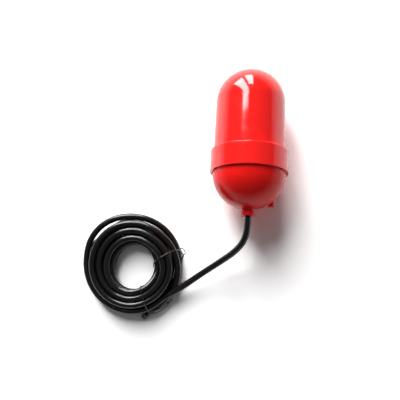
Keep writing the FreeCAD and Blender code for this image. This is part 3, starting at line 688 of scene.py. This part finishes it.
@dataclass
class CoilLay:
    """How the cable lies in its hand-wound coil.

    The first turn rides on the second, stands out where nothing ties it and comes down on
    the far side. The rest fill three columns, and the last comes down over the outside. The
    start, the finish and every azimuth are in degrees. The looseness is a mean and a swing:
    the turns lie straightest on the tied side.
    """

    centre: Vector
    radius: float = CABLE_RADIUS
    start: float = -46.0
    finish: float = -64.0
    entry_layer: float = 1.03
    outer: float = 54.3 * MM
    top_pitch: Pitch = Pitch(8.0, -0.5, 0.58, 0.2)
    low_pitch: Pitch = Pitch(8.75, -0.95, 1.12, 0.35)
    layer_height: float = 7.2 * MM
    clearance: float = 0.1 * MM
    points_per_turn: int = 20
    tied_azimuth: float = -26.0
    looseness: tuple[float, float] = (0.6, 0.4)
    wander: tuple[Waver, ...] = (Waver(0.4, 6.7, 0.8), Waver(0.25, 13.9, 2.1))
    heave: Waver = Waver(0.25, 8.3, 1.0)
    crossings: tuple[Crossing, ...] = (
        Crossing(0, 0, 64, 50, 0),
        Crossing(1, 0, -38, 40, 0),
        Crossing(0, 0, -98, 40, 1),
        Crossing(0.8, 0, 152, 36, 1),
        Crossing(0.35, 0, 118, 36, 1),
        Crossing(1, 0, 82, 40, 1),
        Crossing(1, 1, 9, 56, 1),
        Crossing(2, 1, 71, 60, 2),
        Crossing(2, 0, 133, 60, 3),
        Crossing(3, 0, -151, 60, 4),
        Crossing(3, 1, -91, 60, 5),
        Crossing(3, 2, -31, 56, 5),
        Crossing(2, 2, 20, 80, 6),
        Crossing(1, 2, 20, 80, 7),
        Crossing(0, 0.95, 26, 90, 8),
        Crossing(-0.3, 0.9, -12, 40, 8),
        Crossing(-0.28, 0, -42, 44, 8),
    )
    swells: tuple[Swell, ...] = (
        Swell(147, 20, 3.2 * MM), Swell(120, 22, 2.3 * MM), Swell(-130, 35, -1.0 * MM),
    )
    lifts: tuple[Swell, ...] = (Swell(10, 22, 0.9 * MM), Swell(-62, 22, 0.9 * MM))

    @property
    def travel(self) -> float:
        """How far round the cable runs in the coil, in degrees."""
        return self.start - self.finish + 360.0 * (self.crossings[-1].turn + 1)

    def slot(self, travel: float) -> tuple[float, float]:
        """The column and the layer after a travel in degrees."""
        column, layer = 0.0, self.entry_layer
        for crossing in self.crossings:
            middle = (self.start - crossing.azimuth) % 360.0 + 360.0 * crossing.turn
            share = smooth_step((travel - middle) / crossing.width + 0.5)
            column += (crossing.column - column) * share
            layer += (crossing.layer - layer) * share
        return column, layer

    def spot(self, travel: float) -> tuple[float, float, float]:
        """Azimuth in degrees, radius and height of the cable's middle after a travel.

        Args:
            travel: Degrees clockwise from the cable's entry.

        Returns:
            Azimuth, radius, height.
        """
        azimuth = self.start - travel
        angle = math.radians(azimuth)
        column, layer = self.slot(travel)
        below = min(1.0, 2.0 - layer)
        top, low = self.top_pitch.at(angle), self.low_pitch.at(angle)
        radius = self.outer - column * (top + (low - top) * below)
        share = max(0.0, 1.0 - abs(column))
        radius += share * sum(swell.at(azimuth) for swell in self.swells)
        turn = travel / 360.0
        mean, swing = self.looseness
        free = mean - swing * math.cos(angle - math.radians(self.tied_azimuth))
        wander = sum(waver.at(turn) for waver in self.wander)
        radius += wander * free * MM * min(1.0, abs(column))
        height = self.radius + self.clearance + self.layer_height * layer
        height += sum(lift.at(azimuth) for lift in self.lifts) * min(1.0, layer)
        height += self.heave.at(turn) * MM * layer
        return azimuth, radius, height

    def points(self) -> list[Vector]:
        """The spline's control points in the coil, from the entry to the tail."""
        step = 360.0 / self.points_per_turn
        stretch = 1.0 / math.cos(math.pi / self.points_per_turn)
        made = []
        for index in range(1, int(self.travel / step)):
            azimuth, radius, height = self.spot(index * step)
            angle = math.radians(azimuth)
            reach = radius * stretch
            flat = Vector((reach * math.cos(angle), reach * math.sin(angle), 0.0))
            made.append(Vector((self.centre.x, self.centre.y, height)) + flat)
        return made

    def section(self, azimuth: float) -> list[tuple[float, float]]:
        """Radius and height of each turn where it passes an azimuth.

        Args:
            azimuth: Degrees, as seen from above.

        Returns:
            One pair for each turn.
        """
        travel = (self.start - azimuth) % 360.0
        found = []
        while travel < self.travel:
            found.append(self.spot(travel)[1:])
            travel += 360.0
        return found


# -------- the cable


@dataclass
class Cable:
    """The whole cable: out of the gland, down to the surface, round the coil to its cut end.

    Route and tail are in millimetres: along the surface from the outlet, and up from the surface.
    """

    outlet: Vector
    heading: Vector
    coil: CoilLay
    radius: float = CABLE_RADIUS
    first_run: float = 13.0 * MM
    route: tuple[Triple, ...] = (
        (-3.4, -26.6, 44.6),
        (-12.6, -37.4, 36.6),
        (-28.5, -48.3, 26.4),
        (-50.0, -62.3, 18.0),
        (-74.0, -79.5, 12.8),
        (-96.0, -92.6, 11.2),
    )
    tail: tuple[Triple, ...] = ((-107.5, -104.8, 3.6), (-115.2, -112.0, 3.6))

    def placed(self, spot: Triple) -> Vector:
        """A point of the route or the tail, as a point of the part."""
        return Vector((self.outlet.x + spot[0] * MM, self.outlet.y + spot[1] * MM, spot[2] * MM))

    def control_points(self) -> list[Vector]:
        """The control points of the cable's one spline."""
        free = [self.outlet, self.outlet + self.heading * self.first_run]
        free += [self.placed(spot) for spot in self.route]
        return free + self.coil.points() + [self.placed(spot) for spot in self.tail]

    def build(self) -> bpy.types.Object:
        """Makes the cable and its finish.

        Returns:
            The curve object.
        """
        piece = spline_piece("cable", [self.control_points()], self.radius)
        dress(piece, Finish.CABLE_JACKET)
        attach(piece, "root")
        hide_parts("cable_lead", "cable_coil", "cable_tail")
        report(piece)
        return piece

    def end(self) -> tuple[Vector, Vector]:
        """The middle of the cut face and the way that it faces."""
        near, far = (self.placed(spot) for spot in self.tail)
        return far, (far - near).normalized()


@dataclass
class CutEnd:
    """The cable's end, snipped aslant: the jacket's rim, filler inside it and three cores."""

    spot: Vector
    heading: Vector
    radius: float = CABLE_RADIUS
    wall: float = 0.75 * MM
    overlap: float = 0.4 * MM
    reach: float = 3.5 * MM
    slant: float = 0.9
    ragged: float = 0.08 * MM
    sides: int = 48
    core_azimuths: tuple[float, ...] = (90.0, 210.0, 330.0)
    core_radius: float = 1.05 * MM
    core_offset: float = 1.4 * MM
    core_length: float = 1.2 * MM
    core_bore: float = 0.68
    core_sides: int = 24
    wires: int = 6
    wire_radius: float = 0.25 * MM
    wire_spacing: float = 1.95
    wire_length: float = 1.1 * MM
    wire_sides: int = 10

    def build(self) -> list[bpy.types.Object]:
        """Makes the jacket's tip, the filler, the cores and their copper.

        Returns:
            The pieces.
        """
        tip = mesh_piece("cut_jacket", self._jacket)
        dress(tip, Finish.CABLE_JACKET)
        filler = mesh_piece("cut_filler", self._filler)
        dress(filler, Finish.CUT_FILLER)
        cores = mesh_piece("cut_cores", self._cores)
        dress(cores, Finish.CORE_BROWN)
        copper = mesh_piece("cut_copper", self._copper)
        dress(copper, Finish.COPPER)
        made = [tip, filler, cores, copper]
        for piece, slot in zip(made, ("cable_jacket", "cable_jacket", "core_brown", "brass")):
            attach(piece, "root")
            report(piece)
        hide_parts("tail_cores")
        return made

    def _face(self, across: float, up: float) -> float:
        """How far along the cable the slanted cut is at a place of its section."""
        torn = self.ragged * math.sin(2600.0 * across + 1.0) * math.cos(2100.0 * up)
        return self.reach - self.slant * up + torn

    def _rings(
        self,
        shape: bmesh.types.BMesh,
        rings: Sequence[tuple[float, float | None]],
        capped: bool = False,
    ) -> None:
        """Rings of a sleeve: a radius, and a depth behind the cut or None for the far end.

        Args:
            shape: The mesh that takes them.
            rings: Radius and depth of each ring, in order.
            capped: Whether the last ring is closed by a face.
        """
        base = basis_at(self.spot, self.heading)
        loops = []
        for radius, depth in rings:
            loop = []
            for index in range(self.sides):
                angle = 2.0 * math.pi * index / self.sides
                across, up = radius * math.cos(angle), radius * math.sin(angle)
                along = -self.overlap if depth is None else self._face(across, up) - depth
                loop.append(shape.verts.new(base @ Vector((across, up, along))))
            loops.append(loop)
        for first, second in zip(loops, loops[1:]):
            for index in range(self.sides):
                after = (index + 1) % self.sides
                shape.faces.new((first[index], first[after], second[after], second[index]))
        if capped:
            shape.faces.new(loops[-1])

    def _jacket(self, shape: bmesh.types.BMesh) -> None:
        """The jacket's last millimetres, with a slightly rolled rim."""
        inner = self.radius - self.wall
        self._rings(shape, [
            (self.radius, None), (self.radius, 0.3 * MM), (self.radius - 0.12 * MM, 0.06 * MM),
            (self.radius - 0.3 * MM, 0.0), (inner + 0.1 * MM, 0.02 * MM), (inner, 0.2 * MM),
            (inner, 1.2 * MM),
        ])

    def _filler(self, shape: bmesh.types.BMesh) -> None:
        """Paper and string filler, crowned a little, just inside the rim."""
        outer = self.radius - self.wall
        self._rings(shape, [
            (outer, 1.0 * MM), (outer, 0.2 * MM), (outer * 0.85, 0.05 * MM),
            (outer * 0.6, -0.02 * MM), (outer * 0.3, -0.05 * MM),
        ], capped=True)

    def _core_bases(self) -> list[Matrix]:
        """A basis on each core's middle, where it meets the cut."""
        base = basis_at(self.spot, self.heading)
        made = []
        for degrees in self.core_azimuths:
            angle = math.radians(degrees)
            across, up = self.core_offset * math.cos(angle), self.core_offset * math.sin(angle)
            made.append(base @ Matrix.Translation(Vector((across, up, self._face(across, up)))))
        return made

    def _cores(self, shape: bmesh.types.BMesh) -> None:
        """Insulation with a rounded, hollow end."""
        radius, length = self.core_radius, self.core_length
        bore, floor = radius * self.core_bore, length - 0.3 * MM
        outline = [
            (radius, -1.5 * MM), (radius, length - 0.15 * MM), (radius - 0.12 * MM, length),
            (bore, length), (bore, floor), (0.0, floor),
        ]
        for basis in self._core_bases():
            turned(shape, outline, self.core_sides, basis)

    def _copper(self, shape: bmesh.types.BMesh) -> None:
        """Seven wire ends in each core."""
        radius = self.wire_radius
        outline = [(radius, -0.3 * MM)]
        for angle in map(math.radians, (0, 30, 60)):
            outline.append((radius * math.cos(angle), radius * math.sin(angle) * 0.5))
        outline.append((0.0, radius * 0.5))
        for basis in self._core_bases():
            top = basis @ Matrix.Translation(Vector((0.0, 0.0, self.wire_length)))
            turned(shape, outline, self.wire_sides, top)
            for index in range(self.wires):
                angle = 2.0 * math.pi * index / self.wires
                around = Vector((math.cos(angle), math.sin(angle), 0.0))
                spot = Matrix.Translation(around * radius * self.wire_spacing)
                turned(shape, outline, self.wire_sides, top @ spot)


# -------- the ties


@dataclass
class WireTie:
    """A coated wire drawn round the coil, with its two ends twisted together outside.

    Its run goes from the inner to the outer azimuth, bowed between them, in degrees. Tail and
    stub are in millimetres from the coil's middle. The two ends stand apart round an eye first.
    """

    name: str
    node: str
    coil: CoilLay
    inner_azimuth: float
    outer_azimuth: float
    bow: float
    tail: tuple[Triple, ...]
    eye_length: float
    eye_half: float
    stub: tuple[Triple, ...] = ()
    radius: float = 0.5 * MM
    slack: float = 0.35 * MM
    pitch: float = 2.6 * MM
    sides: int = 24
    eye_taper: float = 6.0

    def azimuth_at(self, share: float) -> float:
        """The run's azimuth in degrees, from 0 at the hole to 1 at the outside."""
        spread = self.outer_azimuth - self.inner_azimuth
        return self.inner_azimuth + spread * share + self.bow * share * (1.0 - share)

    def held(self) -> list[tuple[float, float]]:
        """Radius and height of each turn where the tie's own run crosses it.

        Returns:
            One pair for each turn, found in three rounds from the run's middle.
        """
        middle = self.coil.section((self.inner_azimuth + self.outer_azimuth) / 2)
        near, far = min(middle)[0], max(middle)[0]
        found = []
        for index, (radius, _) in enumerate(middle):
            for _ in range(3):
                azimuth = self.azimuth_at((radius - near) / (far - near))
                radius, height = self.coil.section(azimuth)[index]
            found.append((radius, height))
        return found

    def loop(self) -> list[Vector]:
        """The wire's run round the turns it holds: their outline, drawn tight.

        Returns:
            The control points.
        """
        reach = self.coil.radius + self.radius + self.slack
        cloud = []
        for radius, height in self.held():
            for index in range(self.sides):
                angle = 2.0 * math.pi * index / self.sides
                low = max(self.radius, height + reach * math.sin(angle))
                cloud.append(Vector((radius + reach * math.cos(angle), low)))
        hull = [cloud[index] for index in convex_hull_2d(cloud)]
        near = min(point.x for point in hull)
        far = max(point.x for point in hull)
        made = []
        for point in self._evened(hull):
            angle = math.radians(self.azimuth_at((point.x - near) / (far - near)))
            flat = Vector((math.cos(angle), math.sin(angle), 0.0)) * point.x
            made.append(Vector((self.coil.centre.x, self.coil.centre.y, point.y)) + flat)
        return made

    @staticmethod
    def _evened(hull: Sequence[Vector], spacing: float = 2.0 * MM) -> list[Vector]:
        """Points at even steps round a closed outline."""
        made = []
        for start, end in zip(hull, [*hull[1:], hull[0]]):
            count = max(1, round((end - start).length / spacing))
            made += [start.lerp(end, index / count) for index in range(count)]
        return made

    def placed(self, spots: Sequence[Triple]) -> list[Vector]:
        """Points given in millimetres from the coil's middle, as points of the part."""
        centre = self.coil.centre
        return [Vector((centre.x + x * MM, centre.y + y * MM, z * MM)) for x, y, z in spots]

    def strands(self) -> list[list[Vector]]:
        """The two ends: apart round an open eye at first, then wound round each other.

        Returns:
            The control points of each.
        """
        path = smooth_line(self.placed(self.tail))
        made: list[list[Vector]] = [[], []]
        run = 0.0
        for index, spot in enumerate(path):
            after = path[min(index + 1, len(path) - 1)]
            before = path[max(index - 1, 0)]
            run += (spot - before).length
            basis = (after - before).to_track_quat("Z", "Y")
            share = min(1.0, run / self.eye_length)
            opening = smooth_step(self.eye_taper * share)
            opening *= smooth_step(self.eye_taper * (1.0 - share))
            apart = self.radius + self.eye_half * opening
            wound = 2.0 * math.pi * max(0.0, run - self.eye_length) / self.pitch
            for strand, points in enumerate(made):
                angle = wound + math.pi * strand
                off = Vector((math.cos(angle), math.sin(angle), 0.0)) * apart
                points.append(spot + basis @ off)
        return made

    def build(self) -> list[bpy.types.Object]:
        """Makes the tie.

        Returns:
            The run and the ends.
        """
        piece = spline_piece(self.name, [self.loop()], self.radius, closed=True)
        ends = self.strands() + ([self.placed(self.stub)] if self.stub else [])
        twist = spline_piece(self.name + "_twist", ends, self.radius)
        for item in (piece, twist):
            dress(item, Finish.TIE_COATING)
            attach(item, "root")
            report(item)
        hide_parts(self.node)
        return [piece, twist]


# -------- CAD pieces


@dataclass
class CarriedPieces:
    """The modelled pieces whose shape is final, which only take a finish."""

    name: str
    nodes: dict[Finish, tuple[str, ...]]

    def build(self) -> None:
        """Dresses each node."""
        for finish, nodes in self.nodes.items():
            for node in nodes:
                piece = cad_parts[node]
                dress(piece, finish)
                report(piece)
        LOG.info("%s dressed", self.name)


FLOAT_SHELL = CarriedPieces("float shell", {
    Finish.RED_SHELL: ("upper_shell",),
    Finish.RED_CUP: ("lower_cup", "gland_nut"),
    Finish.BLACK_RUBBER: ("joint_seal",),
})
CABLE_SEAL = CarriedPieces("cable seal", {
    Finish.BLACK_RUBBER: ("cable_grommet",),
    Finish.BRASS: ("thrust_washer", "jacket_ferrule"),
    Finish.CABLE_JACKET: ("cable_entry",),
    Finish.RESIN: ("potting_resin",),
    Finish.CORE_BLACK: ("core_black",),
    Finish.CORE_BROWN: ("core_brown",),
    Finish.CORE_BLUE: ("core_blue",),
})
SWITCH_UNIT = CarriedPieces("switch unit", {
    Finish.NATURAL_PLASTIC: ("switch_carrier", "cage_cap"),
    Finish.BRIGHT_STEEL: (
        "steel_ball", "trip_lever", "lever_pin", "carrier_screws", "case_screws",
    ),
    Finish.SWITCH_PLASTIC: ("switch_case", "switch_cover"),
    Finish.PLUNGER_PLASTIC: ("plunger",),
    Finish.BRASS: (
        "contact_arm", "terminal_common", "terminal_open", "terminal_closed", "crimp_sleeves",
    ),
})
CORD_SOLIDS = CarriedPieces("cord solids", {
    Finish.CABLE_JACKET: ("cable_lead", "cable_coil", "cable_tail"),
    Finish.CORE_BROWN: ("tail_cores",),
    Finish.TIE_COATING: ("tie_wire_upper", "tie_wire_lower"),
})


# -------- studio


@dataclass(frozen=True)
class WindowPane:
    """A tall upright pane of soft light on the dome's side of the studio.

    Its place across the wall, its middle's height and its size are shares of the wall's
    distance. It leans by degrees.
    """

    name: str
    across: float
    middle: float
    width: float
    height: float
    lean: float
    radiance: float

    def build(self, distance: float) -> None:
        """Places the pane's lamp.

        Args:
            distance: How far the window's wall is from the float.
        """
        data = bpy.data.lights.new(self.name, "AREA")
        data.shape = "RECTANGLE"
        data.size, data.size_y = self.width * distance, self.height * distance
        data.energy = self.radiance * math.pi * data.size * data.size_y
        lamp = linked(self.name, data)
        lamp.location = Vector((self.across, 1.0, self.middle)) * distance
        lamp.rotation_euler = (-math.pi / 2, math.radians(self.lean), 0.0)
        lamp.visible_camera = False


@dataclass
class Studio:
    """The pale floor, the lamps, the sky and the camera.

    The floor looks paler by its lift than it is, and fades to white between two distances.
    The backdrop is white up to the first height of its fade and dim from the second.
    """

    floor_half: float = 6.0
    floor_colour: Colour = (0.93, 0.93, 0.93)
    floor_lift: float = 0.45
    floor_fade: tuple[float, float] = (0.6, 1.6)
    sky: float = 0.11
    backdrop_fade: tuple[float, float] = (0.06, 0.30)
    wall: float = 4.0
    camera_spot: Triple = (0.01235, -0.14356, 0.600)
    camera_turn: Triple = (8.13, 6.375, 2.127)
    field_of_view: float = 42.38
    panes: tuple[WindowPane, ...] = (
        WindowPane("tall_pane", -0.54, 1.00, 0.56, 1.62, 5.0, 15.5),
        WindowPane("short_pane", -0.045, 0.46, 0.26, 0.84, 8.0, 15.5),
    )

    def build(self) -> None:
        """Makes the whole studio."""
        self._floor()
        self._sky()
        self._camera()
        for pane in self.panes:
            pane.build(self.wall)

    def _floor(self) -> None:
        """A flat pale sheet that runs into the white backdrop far from the float."""
        half = self.floor_half
        corners = [(-half, -half), (half, -half), (half, half), (-half, half)]

        def fill(shape: bmesh.types.BMesh) -> None:
            """One square face."""
            shape.faces.new([shape.verts.new((x, y, 0.0)) for x, y in corners])

        floor = mesh_piece("floor", fill)
        floor.data.materials.append(self._floor_material())

    def _floor_material(self) -> bpy.types.Material:
        """Matte paper near the float, and plain white far from it.

        Returns:
            The material.
        """
        material = bpy.data.materials.new("pale_floor")
        material.use_nodes = True
        graph = Graph(material.node_tree)
        seen = self._seen(graph)
        lifted = tuple(value * (1.0 + self.floor_lift) for value in self.floor_colour)
        pale = graph.blend(seen, self.floor_colour, lifted)
        paper = graph.noise(graph.place(), size=30.0, detail=3.0)
        shade = graph.blend(paper * 0.02, pale, (0.8, 0.8, 0.8))
        matte = graph.add("ShaderNodeBsdfDiffuse", None, {"Color": shade})
        spot = graph.add("ShaderNodeTexCoord", output="Object")
        away = graph.add("ShaderNodeVectorMath", {"operation": "LENGTH"}, {0: spot}, "Value")
        white = graph.add("ShaderNodeEmission", None, {"Strength": 1.0})
        far = seen * away.step(*self.floor_fade)
        both = graph.add("ShaderNodeMixShader", None, {0: far, 1: matte, 2: white})
        graph.finish("ShaderNodeOutputMaterial", both)
        return material

    @staticmethod
    def _seen(graph: Graph) -> Wire:
        """1 for rays that show a background: the camera's, a mirror's and a lens's.

        Args:
            graph: The graph that asks.

        Returns:
            The factor.
        """
        kinds = ("Is Camera Ray", "Is Glossy Ray", "Is Transmission Ray")
        first, *others = [graph.add("ShaderNodeLightPath", output=kind) for kind in kinds]
        for other in others:
            first = first + other
        return first.limited()

    def _sky(self) -> None:
        """Even dim fill, with a backdrop that is white all round and dims overhead."""
        world = bpy.data.worlds.new("studio_sky")
        world.use_nodes = True
        bpy.context.scene.world = world
        graph = Graph(world.node_tree)
        heading = graph.add("ShaderNodeTexCoord", output="Generated")
        height = graph.add("ShaderNodeSeparateXYZ", None, {0: heading}, "Z")
        backdrop = self._seen(graph) * (1.0 - height.step(*self.backdrop_fade))
        strength = self.sky + backdrop * (1.0 - self.sky)
        sky = graph.add(
            "ShaderNodeBackground", None, {"Color": (1.0, 1.0, 1.0, 1.0), "Strength": strength}
        )
        graph.finish("ShaderNodeOutputWorld", sky)

    def _camera(self) -> None:
        """The camera, high above the float and a little turned."""
        data = bpy.data.cameras.new("camera")
        data.angle = math.radians(self.field_of_view)
        data.clip_start, data.clip_end = 0.01, 50.0
        camera = linked("camera", data)
        camera.location = self.camera_spot
        camera.rotation_euler = [math.radians(angle) for angle in self.camera_turn]
        bpy.context.scene.camera = camera


# -------- the whole scene


def wire_ties(coil: CoilLay) -> tuple[WireTie, WireTie]:
    """The two ties that hold the coil together.

    Args:
        coil: The coil that they hold.

    Returns:
        The tie beside the float and the one beside the cable's cut end.
    """
    upper = WireTie(
        "upper_tie", "tie_wire_upper", coil,
        inner_azimuth=3.0, outer_azimuth=17.7, bow=20.0,
        tail=((56.2, 18.0, 15.5), (59.6, 17.2, 16.0), (60.8, 12.6, 16.0), (59.4, 9.2, 15.6),
              (58.7, 6.0, 15.2), (58.6, 3.2, 14.8)),
        eye_length=8.0 * MM, eye_half=1.5 * MM,
        stub=((29.6, 5.2, 19.0), (27.0, 2.6, 14.0), (24.8, -0.6, 9.5), (24.6, -3.4, 8.0)),
    )
    lower = WireTie(
        "lower_tie", "tie_wire_lower", coil,
        inner_azimuth=-62.0, outer_azimuth=-67.0, bow=-3.0,
        tail=((22.6, -53.6, 12.0), (27.0, -54.4, 8.0), (34.0, -51.6, 6.2), (41.4, -45.0, 5.8),
              (48.0, -39.2, 5.4)),
        eye_length=27.0 * MM, eye_half=1.0 * MM,
    )
    return upper, lower


def main() -> None:
    """Builds the switch's looks, piece by piece."""
    logging.basicConfig(level=logging.INFO, format="%(name)s: %(message)s")
    bpy.context.scene.view_settings.view_transform = "Standard"
    centre = GLAND_EXIT.xy + COIL_FROM_EXIT
    coil = CoilLay(centre=Vector((centre.x, centre.y, 0.0)))
    cable = Cable(GLAND_EXIT, GLAND_HEADING, coil)
    cord = cable.build()
    end = CutEnd(*cable.end()).build()
    upper, lower = (tie.build() for tie in wire_ties(coil))
    for pieces in (FLOAT_SHELL, CABLE_SEAL, SWITCH_UNIT, CORD_SOLIDS):
        pieces.build()
    length = length_of(smooth_line(cable.control_points()))
    LOG.info("cable: %.3f m long", length)
    cable.radius * 2
    Studio().build()
    bpy.context.view_layer.update()


if __name__ == "__main__":
    main()
